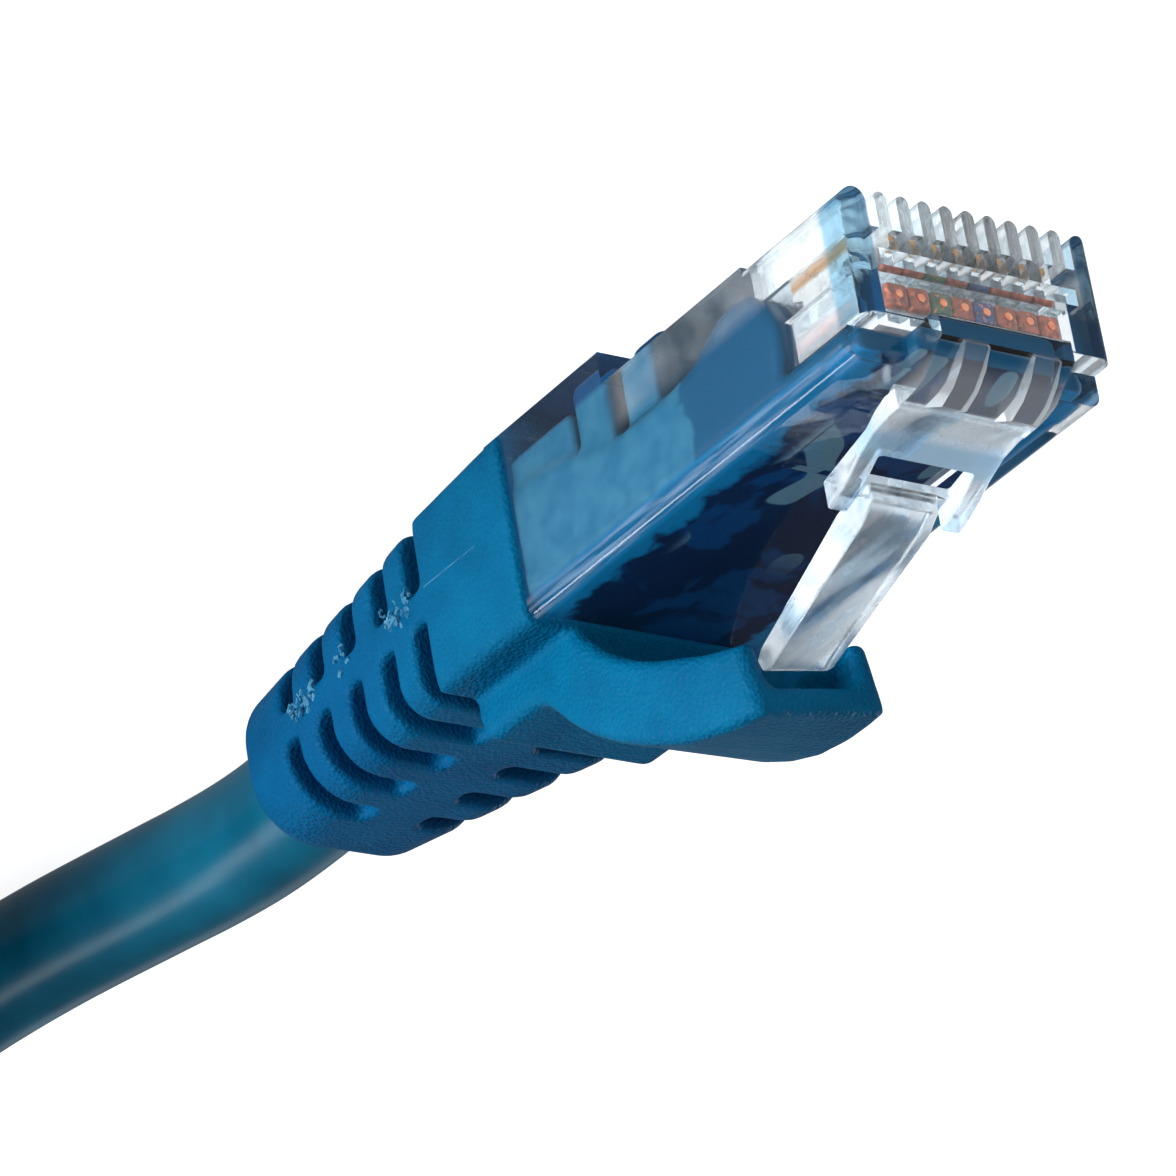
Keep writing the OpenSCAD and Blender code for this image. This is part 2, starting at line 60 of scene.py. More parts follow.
# ---------------------------------------------------------------- cord route, in metres
COIL_R, STEP, HEADING = 0.033, 0.0061, math.radians(12)
EXIT = Vector((-0.02265, 0.0, 0.0035))
LOW_Z, HIGH_Z = 0.0002, 0.0063
NEAR_ROUTE = [(0, 0, 0), (-0.003, 0, 0), (-0.006, 0.0001, -0.0001), (-0.009, 0.00047, -0.00025),
              (-0.012, 0.00105, -0.0004), (-0.018, 0.00232, -0.0006), (-0.023, 0.00338, -0.0005),
              (-0.028, 0.00444, LOW_Z - 0.0003), (-0.034, 0.00572, LOW_Z), (-0.040, 0.006995, LOW_Z)]
FAR_ROUTE = [(0, 0, 0), (-0.003, 0, 0), (-0.006, 0.0001, 0.0001), (-0.009, 0.00047, 0.0004),
             (-0.012, 0.00105, 0.0009), (-0.018, 0.00232, 0.0026), (-0.023, 0.00338, 0.0043),
             (-0.028, 0.00444, HIGH_Z - 0.0006), (-0.034, 0.00572, HIGH_Z), (-0.040, 0.006995, HIGH_Z)]
ENTRY_ANGLE = math.radians(258)
TURNS = 4 + 156 / 360
RUN_ON = 0.0056                             # straight stretch between the route's end and the coil
ENTRY = Vector((EXIT.x - 0.040 - RUN_ON * math.cos(HEADING), 0.006995 + RUN_ON * math.sin(HEADING)))
COIL_C = ENTRY - COIL_R * Vector((math.cos(ENTRY_ANGLE), math.sin(ENTRY_ANGLE)))
FAR_Y = 2 * COIL_C.y * 1000                 # the far plug's place across the row, in millimetres


def ramp(u):
    """Smooth rise from 0 to 1."""
    u = min(1.0, max(0.0, u))
    return u * u * (3 - 2 * u)


def coil_point(t):
    """Place on the coil after t turns: inwards on the lower layer, outwards on the upper one."""
    r = COIL_R - STEP * min(t, TURNS - t)
    a = ENTRY_ANGLE - 2 * math.pi * t
    z = EXIT.z + LOW_Z + STEP * ramp((t - TURNS / 2) / 0.5 + 0.5)
    return (COIL_C.x + r * math.cos(a), COIL_C.y + r * math.sin(a), z)


def smooth_line(points, n):
    """Catmull-Rom line through points, n steps between each two."""
    p = [np.array(q, float) for q in points]
    p = [2 * p[0] - p[1]] + p + [2 * p[-1] - p[-2]]
    out = []
    for i in range(1, len(p) - 2):
        for k in range(n):
            t = k / n
            out.append(0.5 * (2 * p[i] + (p[i + 1] - p[i - 1]) * t
                              + (2 * p[i - 1] - 5 * p[i] + 4 * p[i + 1] - p[i + 2]) * t * t
                              + (3 * p[i] - p[i - 1] - 3 * p[i + 1] + p[i + 2]) * t ** 3))
    out.append(p[-2])
    return out


near_line = smooth_line([(EXIT.x + x, y, EXIT.z + z) for x, y, z in NEAR_ROUTE], 6)
far_line = smooth_line([(EXIT.x + x, FAR_Y / 1000 - y, EXIT.z + z) for x, y, z in FAR_ROUTE], 6)
coil_line = [coil_point(TURNS * i / 420) for i in range(421)]
CORD_LINE = [np.array(q) for q in near_line + coil_line + far_line[::-1]]


# ---------------------------------------------------------------- camera
CAMERA_AXES = ((0.560, -0.814, 0.1516), (0.452, 0.147, -0.880), (0.694, 0.561, 0.450))  # right, up, back
CAMERA_AT = (0.196436, 0.161930, 0.134096)
cam_data = bpy.data.cameras.new("camera")
cam = bpy.data.objects.new("camera", cam_data)
scene.collection.objects.link(cam)
turn = Matrix(CAMERA_AXES).transposed().to_quaternion()
cam.matrix_world = Matrix.Translation(CAMERA_AT) @ turn.to_matrix().to_4x4()
cam_data.lens, cam_data.sensor_width = 224.86, 36.0
cam_data.clip_start, cam_data.clip_end = 0.01, 10
scene.camera = cam


# ---------------------------------------------------------------- mesh helpers, in millimetres
def new_object(name, verts, faces):
    me = bpy.data.meshes.new(name)
    me.from_pydata([tuple(map(float, v)) for v in verts], [], [tuple(map(int, f)) for f in faces])
    me.update()
    ob = bpy.data.objects.new(name, me)
    scene.collection.objects.link(ob)
    return ob


def fix_normals(ob):
    bm = bmesh.new()
    bm.from_mesh(ob.data)
    bmesh.ops.recalc_face_normals(bm, faces=bm.faces)
    bm.to_mesh(ob.data)
    bm.free()
    return ob


def prism(points, axis, a, b):
    """Polygon pushed along an axis from a to b. Its points give the other two coordinates."""
    n, verts = len(points), []
    for t in (a, b):
        for p in points:
            v = list(p)
            v.insert(axis, t)
            verts.append(v)
    faces = [list(range(n)), list(range(2 * n - 1, n - 1, -1))]
    faces += [[i, (i + 1) % n, n + (i + 1) % n, n + i] for i in range(n)]
    return fix_normals(new_object("prism", verts, faces))


def block(x0, x1, y0, y1, z0, z1):
    return prism([(x0, y0), (x1, y0), (x1, y1), (x0, y1)], 2, z0, z1)


def arc(cx, cy, r, a0, a1, n=6):
    """Points on an arc from angle a0 to a1, in degrees."""
    angles = [math.radians(a0 + (a1 - a0) * i / n) for i in range(n + 1)]
    return [(cx + r * math.cos(a), cy + r * math.sin(a)) for a in angles]


def rounded(hw, z0, z1, r0, r1, n=6):
    """Rectangle of half width hw, its lower corners rounded by r0 and its upper ones by r1."""
    return (arc(hw - r0, z0 + r0, r0, -90, 0, n) + arc(hw - r1, z1 - r1, r1, 0, 90, n)
            + arc(r1 - hw, z1 - r1, r1, 90, 180, n) + arc(r0 - hw, z0 + r0, r0, 180, 270, n))


def baked(ob):
    """The object with its modifiers worked into its mesh."""
    dg = bpy.context.evaluated_depsgraph_get()
    me = bpy.data.meshes.new_from_object(ob.evaluated_get(dg))
    ob.modifiers.clear()
    ob.data = me
    return ob


def combine(a, b, how):
    for other in (b if isinstance(b, (list, tuple)) else [b]):
        m = a.modifiers.new("combine", "BOOLEAN")
        m.object, m.operation, m.solver = other, how, "MANIFOLD"
        bpy.context.view_layer.update()
        baked(a)
        bpy.data.objects.remove(other)
    return a


def union(a, b):
    return combine(a, b, "UNION")


def cut(a, b):
    return combine(a, b, "DIFFERENCE")


def common(a, b):
    return combine(a, b, "INTERSECT")


def round_edges(ob, width, segments=3, angle=30):
    bm = bmesh.new()
    bm.from_mesh(ob.data)
    bmesh.ops.remove_doubles(bm, verts=bm.verts, dist=0.002)
    bmesh.ops.dissolve_limit(bm, angle_limit=math.radians(0.5), verts=bm.verts, edges=bm.edges)
    bmesh.ops.recalc_face_normals(bm, faces=bm.faces)
    bm.to_mesh(ob.data)
    bm.free()
    m = ob.modifiers.new("round", "BEVEL")
    m.width, m.segments, m.limit_method, m.angle_limit = width, segments, "ANGLE", math.radians(angle)
    m.use_clamp_overlap, m.harden_normals, m.miter_outer = True, False, "MITER_ARC"
    bpy.context.view_layer.update()
    return baked(ob)


def shade(ob, angle=32):
    """Smooth shading that keeps sharp edges. The large faces set the normals, so flats stay flat."""
    ob.data.shade_smooth()
    bm = bmesh.new()
    bm.from_mesh(ob.data)
    for e in bm.edges:
        if len(e.link_faces) == 2 and e.calc_face_angle(0) > math.radians(angle):
            e.smooth = False
    bm.to_mesh(ob.data)
    bm.free()
    ob.modifiers.new("flat faces", "WEIGHTED_NORMAL").keep_sharp = True
    bpy.context.view_layer.update()
    return baked(ob)


def place(ob, name, look, body=None, replaces=(), blend=None, ends=("near", "far")):
    """Puts a piece drawn in the plug's frame at its ends and gives each copy its material. Without blend,
    each copy is also attached to its body.
    """
    for end in ends:
        shift = (NOSE_X, FAR_Y if end == "far" else 0.0, SEAT_Z)
        me = ob.data.copy()
        me.transform(Matrix.Scale(0.001, 4) @ Matrix.Translation(shift))
        me.name = f"{end}_{name}"
        piece = bpy.data.objects.new(f"{end}_{name}", me)
        scene.collection.objects.link(piece)
        me.materials.clear()
        me.materials.append(look)
        if blend:
            a, b, start, stop = blend
            start, stop = [[(u + s) / 1000 for u, s in zip(q, shift)] for q in (start, stop)]
            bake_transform(piece)
        else:
            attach(piece, ROOT if body is None else f"{end}_{body}")
        if replaces:
            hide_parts(*[f"{end}_{n}" for n in replaces])
    bpy.data.objects.remove(ob)


def tube(line, r, sides=16):
    """Round tube along a line of points, closed at both ends."""
    line = [np.array(p, float) for p in line]
    turns = [2 * math.pi * j / sides for j in range(sides)]
    verts, faces, n = [], [], len(line)
    for i, p in enumerate(line):
        t = line[min(i + 1, n - 1)] - line[max(i - 1, 0)]
        t /= np.linalg.norm(t)
        s = np.cross((0, 0, 1.0), t)
        s /= np.linalg.norm(s)
        u = np.cross(t, s)
        verts += [p + r * (math.cos(a) * s + math.sin(a) * u) for a in turns]
    for i in range(n - 1):
        for j in range(sides):
            a, b = i * sides + j, i * sides + (j + 1) % sides
            faces.append([a, b, b + sides, a + sides])
    faces += [list(range(sides))[::-1], [(n - 1) * sides + j for j in range(sides)]]
    return fix_normals(new_object("tube", verts, faces))


# ---------------------------------------------------------------- distance fields and their mesh
def polygon_distance(px, py, pts):
    """Signed distance from (px, py) to a closed polygon, negative inside."""
    best = np.full(np.broadcast(px, py).shape, 1e9, np.float32)
    inside = np.zeros(best.shape, bool)
    for (x0, y0), (x1, y1) in zip(pts, pts[1:] + pts[:1]):
        dx, dy = x1 - x0, y1 - y0
        t = np.clip(((px - x0) * dx + (py - y0) * dy) / (dx * dx + dy * dy + 1e-12), 0, 1)
        best = np.minimum(best, (px - x0 - t * dx) ** 2 + (py - y0 - t * dy) ** 2)
        crosses = ((y0 > py) != (y1 > py)) & (px < x0 + (py - y0) * dx / (dy + (1e-12 if dy == 0 else 0)))
        inside ^= crosses
    return np.sqrt(best) * np.where(inside, -1, 1)


def both(a, b, r=0.0):
    """Where two fields are both inside, its edge rounded by r."""
    if r <= 0:
        return np.maximum(a, b)
    u, v = np.maximum(a + r, 0), np.maximum(b + r, 0)
    return np.minimum(np.maximum(a, b), -r) + np.sqrt(u * u + v * v)


def either(a, b, r=0.0):
    """Where one of two fields is inside, the corner between them filled by r."""
    return -both(-a, -b, r)


def box_field(x, y, z, centre, half, r=0.0):
    """Field of a block with its edges rounded by r."""
    d = both(np.abs(x - centre[0]) - half[0], np.abs(y - centre[1]) - half[1], r)
    return both(d, np.abs(z - centre[2]) - half[2], r)


def surface(f, origin, h):
    """Mesh of the zero level of a grid, one vertex for each cell that it crosses."""
    n = np.array(f.shape)
    s = f < 0
    total = np.zeros(tuple(n - 1) + (3,), np.float32)
    count = np.zeros(tuple(n - 1), np.float32)
    corner = [(i, j, k) for i in (0, 1) for j in (0, 1) for k in (0, 1)]

    def at(a, c):
        return a[c[0]:n[0] - 1 + c[0], c[1]:n[1] - 1 + c[1], c[2]:n[2] - 1 + c[2]]

    for c in corner:
        for axis in range(3):
            if c[axis]:
                continue
            e = tuple(v + (1 if i == axis else 0) for i, v in enumerate(c))
            fa, fb = at(f, c), at(f, e)
            hit = at(s, c) != at(s, e)
            t = np.where(hit, fa / np.where(hit, fa - fb, 1), 0)
            for i in range(3):
                total[..., i] += np.where(hit, c[i] + (t if i == axis else 0), 0)
            count += hit
    cells = np.argwhere(count > 0)
    index = np.full(tuple(n - 1), -1, np.int64)
    index[tuple(cells.T)] = np.arange(len(cells))
    verts = (cells + total[tuple(cells.T)] / count[tuple(cells.T)][:, None]) * h + np.array(origin)
    faces = []
    for axis in range(3):
        b, c = (axis + 1) % 3, (axis + 2) % 3
        lo = [slice(1, n[i] - 1) for i in range(3)]
        lo[axis] = slice(0, n[axis] - 1)
        hi = list(lo)
        hi[axis] = slice(1, n[axis])
        sa, sb = s[tuple(lo)], s[tuple(hi)]
        at_edge = np.argwhere(sa != sb)
        flip = sb[tuple(at_edge.T)]
        first = at_edge + np.array([0 if i == axis else 1 for i in range(3)])
        quad = []
        for db, dc in ((-1, -1), (0, -1), (0, 0), (-1, 0)):
            q = first.copy()
            q[:, b] += db
            q[:, c] += dc
            quad.append(index[tuple(q.T)])
        quad = np.stack(quad, 1)
        quad[flip] = quad[flip][:, ::-1]
        faces.append(quad)
    return verts, np.concatenate(faces)


def field_object(name, lo, hi, h, field, relax=2):
    """Object made from a field, on a grid of cells of size h between two corners."""
    ax = [np.arange(a, b + h, h, dtype=np.float32) for a, b in zip(lo, hi)]
    x, y, z = ax[0][:, None, None], ax[1][None, :, None], ax[2][None, None, :]
    f = np.ascontiguousarray(np.broadcast_to(field(x, y, z), (len(ax[0]), len(ax[1]), len(ax[2]))))
    verts, faces = surface(f, lo, h)
    me = bpy.data.meshes.new(name)
    me.vertices.add(len(verts))
    me.vertices.foreach_set("co", verts.astype(np.float32).ravel())
    me.loops.add(faces.size)
    me.loops.foreach_set("vertex_index", faces.astype(np.int32).ravel())
    me.polygons.add(len(faces))
    me.polygons.foreach_set("loop_start", np.arange(0, faces.size, 4, dtype=np.int32))
    me.polygons.foreach_set("loop_total", np.full(len(faces), 4, np.int32))
    me.update(calc_edges=True)
    ob = bpy.data.objects.new(name, me)
    scene.collection.objects.link(ob)
    if relax:
        m = ob.modifiers.new("relax", "SMOOTH")
        m.factor, m.iterations = 0.5, relax
        bpy.context.view_layer.update()
        baked(ob)
    ob.data.shade_smooth()
    return ob


# ---------------------------------------------------------------- materials
def material(name):
    m = bpy.data.materials.new(name)
    m.use_nodes = True
    m.node_tree.nodes.clear()
    return m, m.node_tree


def node(tree, kind, **inputs):
    """New node. p_name sets a property, i0 an input by its number, and any other word one by its name."""
    n = tree.nodes.new(kind)
    for key, value in inputs.items():
        if key.startswith("p_"):
            setattr(n, key[2:], value)
            continue
        by_number = key[0] == "i" and key[1:].isdigit()
        socket = n.inputs[int(key[1:]) if by_number else key.replace("_", " ")]
        if isinstance(value, bpy.types.NodeSocket):
            tree.links.new(value, socket)
        else:
            socket.default_value = value
    return n


def rgb(r, g, b):
    """Colour from 8-bit display values."""
    return tuple((c / 255 / 12.92) if c / 255 <= 0.04045 else ((c / 255 + 0.055) / 1.055) ** 2.4
                 for c in (r, g, b)) + (1.0,)


def mix(tree, factor, a, b):
    n = tree.nodes.new("ShaderNodeMix")
    n.data_type = "RGBA"
    for socket, value in ((n.inputs[0], factor), (n.inputs[6], a), (n.inputs[7], b)):
        if isinstance(value, bpy.types.NodeSocket):
            tree.links.new(value, socket)
        else:
            socket.default_value = value
    return n.outputs[2]


def ramp_node(tree, value, stops):
    """Colour ramp through stops of place and grey or colour."""
    n = tree.nodes.new("ShaderNodeValToRGB")
    tree.links.new(value, n.inputs[0])
    el = n.color_ramp.elements
    while len(el) < len(stops):
        el.new(0.5)
    for e, (p, c) in zip(el, stops):
        e.position, e.color = p, (c, c, c, 1) if isinstance(c, (int, float)) else c
    return n.outputs[0]


def position(tree):
    """Place in the row frame in millimetres. Both ends share it."""
    coords = node(tree, "ShaderNodeTexCoord")
    scale = node(tree, "ShaderNodeVectorMath", p_operation="SCALE", i0=coords.outputs["Object"])
    scale.inputs[3].default_value = 1000
    return scale.outputs[0]


def noise(tree, vector, scale, detail=3.0, rough=0.5, distortion=0.0):
    return node(tree, "ShaderNodeTexNoise", Vector=vector, Scale=scale, Detail=detail, Roughness=rough,
                Distortion=distortion).outputs[0]


def finish_material(m, tree, shader):
    out = tree.nodes.new("ShaderNodeOutputMaterial")
    tree.links.new(shader, out.inputs[0])
    return m


def split(tree, vector):
    return node(tree, "ShaderNodeSeparateXYZ", i0=vector).outputs


def stretched(tree, vector, factors):
    """Vector times three factors."""
    return node(tree, "ShaderNodeVectorMath", p_operation="MULTIPLY", i0=vector, i1=factors).outputs[0]


def shifted(tree, value, factor, offset):
    """value times factor plus offset."""
    return node(tree, "ShaderNodeMath", p_operation="MULTIPLY_ADD", i0=value, i1=factor, i2=offset).outputs[0]


def step(tree, value, start, stop):
    """0 at start and 1 at stop, with start above stop for a fall."""
    return node(tree, "ShaderNodeMapRange", Value=value, i1=start, i2=stop).outputs[0]


def times(tree, first, *others):
    """Product of values."""
    for other in others:
        first = node(tree, "ShaderNodeMath", p_operation="MULTIPLY", i0=first, i1=other).outputs[0]
    return first


def size_of(tree, value):
    """Value without its sign."""
    return node(tree, "ShaderNodeMath", p_operation="ABSOLUTE", i0=value).outputs[0]


def from_middle(tree, along_row):
    """Signed distance across the row from the middle of the plug that the point belongs to."""
    far = step(tree, along_row, 40.0, 41.0)
    return shifted(tree, far, -FAR_Y, along_row)


def bumps(tree, height, strength, distance):
    """Normal for a surface with a height, its distance in metres."""
    return node(tree, "ShaderNodeBump", Strength=strength, Distance=distance, Height=height).outputs[0]


def rubber():
    """Moulded rubber with a fine pebbled grain, and painted shade that makes it a little deeper blue behind
    the guard.
    """
    m, t = material("boot rubber")
    p = position(t)
    tone = ramp_node(t, noise(t, p, 0.35, 4.0), [(0.35, 0.0), (0.65, 1.0)])
    grain = node(t, "ShaderNodeTexVoronoi", Vector=p, Scale=5.6, Randomness=1.0)
    fine = noise(t, p, 7.0, 4.0, 0.6)
    front = mix(t, tone, rgb(0, 92, 134), rgb(0, 103, 146))
    shaded_rear = mix(t, tone, rgb(0, 84, 132), rgb(0, 94, 144))
    # painted shade: the boot's colour darkens from the collar towards its tail
    colour = mix(t, step(t, split(t, p)[0], -14.0, -4.0), shaded_rear, front)
    normal = bumps(t, shifted(t, fine, 0.35, grain.outputs[0]), 0.8, 0.00007)
    rough = ramp_node(t, fine, [(0.3, 0.42), (0.7, 0.56)])
    s = node(t, "ShaderNodeBsdfPrincipled", Base_Color=colour, Roughness=rough, Normal=normal, IOR=1.5,
             Specular_IOR_Level=0.06)
    return finish_material(m, t, s.outputs[0])


def mould():
    """Blue plastic behind the clear body, whose tones show where the two touch and where they have let go.
    Its latch side carries painted shade and a rim of painted light.
    """
    m, t = material("mould blue")
    p = position(t)
    at = split(t, p)
    wavy = noise(t, p, 0.3, 3.0, 0.5, 0.8)
    tone = noise(t, p, 0.9, 4.0)
    facing = split(t, node(t, "ShaderNodeNewGeometry").outputs["Normal"])
    # side: deep blue towards the nose, a paler haze behind it with a wavy border
    along = shifted(t, wavy, 5.0, at[0])
    haze = mix(t, step(t, tone, 0.4, 0.65), rgb(24, 92, 124), rgb(44, 105, 133))
    side = mix(t, step(t, along, 13.2, 13.5), haze, rgb(0, 70, 104))
    # latch side: painted shade, very dark, with pale ovals where the two have let go, and a brighter rim of
    # painted light
    spots = noise(t, stretched(t, p, (0.55, 1.0, 1.0)), 0.62, 0.0)
    off = size_of(t, from_middle(t, at[1]))
    patch = times(t, step(t, spots, 0.6, 0.615), step(t, at[0], 5.0, 8.0), step(t, off, 3.6, 3.2))
    shaded_top = mix(t, step(t, wavy, 0.5, 0.56), rgb(0, 22, 54), rgb(0, 48, 92))
    shaded_top = mix(t, patch, shaded_top, rgb(78, 108, 126))
    # painted light: a brighter blue rim along the outer edge of the latch side
    lit_rim = step(t, shifted(t, tone, 2.4, off), 5.3, 5.7)
    shaded_top = mix(t, lit_rim, shaded_top, rgb(0, 96, 140))
    # faces that point to the latch side take the painted-shade colours, the others the side's colours
    colour = mix(t, step(t, facing[2], 0.35, 0.6), side, shaded_top)
    # the lumps under the side step are darker
    colour = mix(t, step(t, at[2], 1.2, 1.5), rgb(6, 62, 104), colour)
    s = node(t, "ShaderNodeBsdfPrincipled", Base_Color=colour, Roughness=0.35, IOR=1.5,
             Specular_IOR_Level=0.1)
    return finish_material(m, t, s.outputs[0])


def jacket():
    """Smooth cable jacket."""
    m, t = material("cable jacket")
    p = position(t)
    tone = ramp_node(t, noise(t, p, 0.25, 4.0), [(0.35, 0.0), (0.7, 1.0)])
    colour = mix(t, tone, rgb(4, 94, 124), rgb(18, 116, 148))
    normal = bumps(t, noise(t, p, 2.2, 2.0), 0.12, 0.00005)
    s = node(t, "ShaderNodeBsdfPrincipled", Base_Color=colour, Roughness=0.3, Normal=normal, IOR=1.5,
             Specular_IOR_Level=0.3)
    return finish_material(m, t, s.outputs[0])


def clouding(t, at, across, off, wave, streak):
    """How cloudy clear plastic is: at the sheared comb, the latch root, the gussets and low on the sides."""
    slots = NOSE_X + SLOT_END
    comb = times(t, step(t, at[0], slots - 0.25, slots + 0.15), step(t, at[2], 3.3, 2.9),
                 step(t, off, 4.95, 4.75))
    root = times(t, step(t, at[0], 19.2, 19.8), step(t, at[2], 8.1, 9.0))
    cloud = times(t, comb, shifted(t, streak, 0.3, 0.17))
    cloud = shifted(t, root, 0.2, cloud)
    for start, stop in GUSSETS:
        half = (stop - start) / 2 + 0.025
        from_gusset = size_of(t, shifted(t, across, 1.0, -(start + stop) / 2))
        gusset = times(t, step(t, from_gusset, half + 0.03, half), step(t, at[2], 7.7, 7.9),
                       step(t, at[0], 19.4, 19.6))
        cloud = shifted(t, gusset, 0.1, cloud)
    low_side = times(t, step(t, off, 5.0, 5.3), step(t, at[2], 3.9, 3.3), step(t, at[0], 6.3, 7.3))
    return shifted(t, times(t, low_side, step(t, wave, 0.25, 0.7)), 0.16, cloud)


def clear(name, tint=(0.91, 0.935, 0.95, 1), rough=0.02, frost=0.004, drawn=0.0):
    """Clear plastic. frost clouds it in a fine grain all over, and drawn adds flow lines along the latch."""
    m, t = material(name)
    p = position(t)
    at = split(t, p)
    wave = noise(t, p, 0.5, 2.0)
    fine = noise(t, p, 3.0, 3.0)
    streak = step(t, noise(t, stretched(t, p, (1.0, 5.0, 0.5)), 1.2, 3.0), 0.35, 0.65)
    across = from_middle(t, at[1])
    off = size_of(t, across)
    cloud = clouding(t, at, across, off, wave, streak)
    lines = step(t, noise(t, stretched(t, p, (0.12, 2.4, 2.4)), 1.6, 3.0), 0.45, 0.62)
    edge = times(t, step(t, off, 5.4, 5.5), step(t, at[2], 7.35, 7.6), lines)
    cloud = shifted(t, edge, 0.26, cloud)
    cloud = shifted(t, fine, 2 * frost, cloud)
    column = times(t, step(t, off, 4.8, 4.9), step(t, at[0], 20.1, 20.4), step(t, at[2], 6.9, 6.7))
    tint = mix(t, column, tint, (0.16, 0.38, 0.55, 1))
    tint = mix(t, edge, tint, (0.4, 0.66, 0.88, 1))
    if drawn:                                               # flow lines, pale and blue by turns
        turned = node(t, "ShaderNodeVectorRotate", Vector=p, Axis=(0, 0, 1), Angle=math.radians(24))
        flow = noise(t, stretched(t, turned.outputs[0], (0.35, 1.5, 0.5)), 0.6, 1.5)
        cloud = shifted(t, step(t, flow, 0.36, 0.6), drawn, cloud)
        band = times(t, step(t, at[0], 16.6, 16.9), step(t, at[0], 18.1, 17.8), step(t, at[2], 10.4, 10.2))
        cloud = shifted(t, band, 0.2, cloud)
        blue = node(t, "ShaderNodeMath", p_operation="MAXIMUM", i0=band, i1=step(t, flow, 0.5, 0.34))
        tint = mix(t, blue.outputs[0], tint, (0.55, 0.76, 0.92, 1))
    normal = bumps(t, shifted(t, fine, 0.15, wave), 0.15, 0.00006)
    rough = shifted(t, cloud, 0.45, rough)
    s = node(t, "ShaderNodeBsdfPrincipled", Base_Color=tint, Roughness=rough, IOR=1.56,
             Transmission_Weight=shifted(t, cloud, -1.0, 1.0), Normal=normal)
    lit = node(t, "ShaderNodeBsdfTransparent", Color=(0.86, 0.9, 0.92, 1))
    shadow = node(t, "ShaderNodeLightPath").outputs["Is Shadow Ray"]
    pick = node(t, "ShaderNodeMixShader", i0=shadow, i1=s.outputs[0], i2=lit.outputs[0])
    return finish_material(m, t, pick.outputs[0])


def contact():
    """Gilded along the outer edge, bright nickel below it."""
    m, t = material("gold contact")
    p = position(t)
    tone = noise(t, p, 2.5, 3.0)
    edge = step(t, split(t, p)[2], 3.5, 3.2)
    gold = mix(t, tone, rgb(150, 98, 44), rgb(214, 160, 88))
    nickel = mix(t, tone, rgb(176, 178, 178), rgb(222, 222, 218))
    s = node(t, "ShaderNodeBsdfPrincipled", Base_Color=mix(t, edge, nickel, gold), Metallic=0.7,
             Roughness=ramp_node(t, tone, [(0.3, 0.25), (0.7, 0.4)]))
    return finish_material(m, t, s.outputs[0])


def metal(name, colour, dark, rough):
    m, t = material(name)
    p = position(t)
    tone = noise(t, p, 2.5, 3.0)
    c = mix(t, ramp_node(t, tone, [(0.35, 0.0), (0.65, 1.0)]), dark, colour)
    r = ramp_node(t, tone, [(0.3, rough), (0.7, rough + 0.15)])
    s = node(t, "ShaderNodeBsdfPrincipled", Base_Color=c, Roughness=r, Metallic=1.0)
    return finish_material(m, t, s.outputs[0])


def darker(colour, share):
    """Colour at a share of its brightness."""
    return tuple(v * share for v in colour[:3]) + (1,)


def insulation(name, colour, stripe, end):
    """Coloured skin, with the strands of copper showing through it at the cut end, and painted glints on that
    end.
    """
    m, t = material(name)
    p = position(t)
    tone = ramp_node(t, noise(t, p, 1.5, 3.0), [(0.3, 0.0), (0.7, 1.0)])
    c = mix(t, tone, colour, darker(colour, 0.82))
    if stripe:
        band = node(t, "ShaderNodeTexWave", Vector=p, Scale=0.16, Distortion=1.5, p_bands_direction="X")
        c = mix(t, ramp_node(t, band.outputs[0], [(0.55, 0.0), (0.6, 1.0)]), c, stripe)
    mottled = step(t, noise(t, p, 3.2, 2.0), 0.44, 0.56)
    cut_end = mix(t, mottled, darker(end, 0.8), darker(end, 0.4))
    # painted highlight: bright orange glints scattered over the cut end
    cut_end = mix(t, step(t, noise(t, p, 4.0, 2.0), 0.58, 0.66), cut_end, rgb(204, 112, 76))
    c = mix(t, step(t, split(t, p)[0], 15.6, 16.4), c, cut_end)
    s = node(t, "ShaderNodeBsdfPrincipled", Base_Color=c, Roughness=0.4, IOR=1.45)
    return finish_material(m, t, s.outputs[0])


def strap():
    """Woven black strap."""
    m, t = material("tie strap")
    p = position(t)
    weave = node(t, "ShaderNodeTexWave", Vector=p, Scale=1.4, Distortion=2.0, p_bands_direction="Y")
    fuzz = noise(t, p, 6.0, 5.0, 0.7)
    normal = bumps(t, shifted(t, fuzz, 0.8, weave.outputs[0]), 0.7, 0.0001)
    c = mix(t, ramp_node(t, fuzz, [(0.35, 0.0), (0.7, 1.0)]), rgb(16, 16, 18), rgb(46, 46, 50))
    s = node(t, "ShaderNodeBsdfPrincipled", Base_Color=c, Roughness=0.85, Normal=normal)
    return finish_material(m, t, s.outputs[0])


def scraps():
    m, t = material("boot flash")
    tone = noise(t, position(t), 2.0, 3.0)
    c = mix(t, step(t, tone, 0.35, 0.65), rgb(14, 100, 146), rgb(74, 148, 184))
    s = node(t, "ShaderNodeBsdfPrincipled", Base_Color=c, Roughness=0.5, IOR=1.5)
    return finish_material(m, t, s.outputs[0])


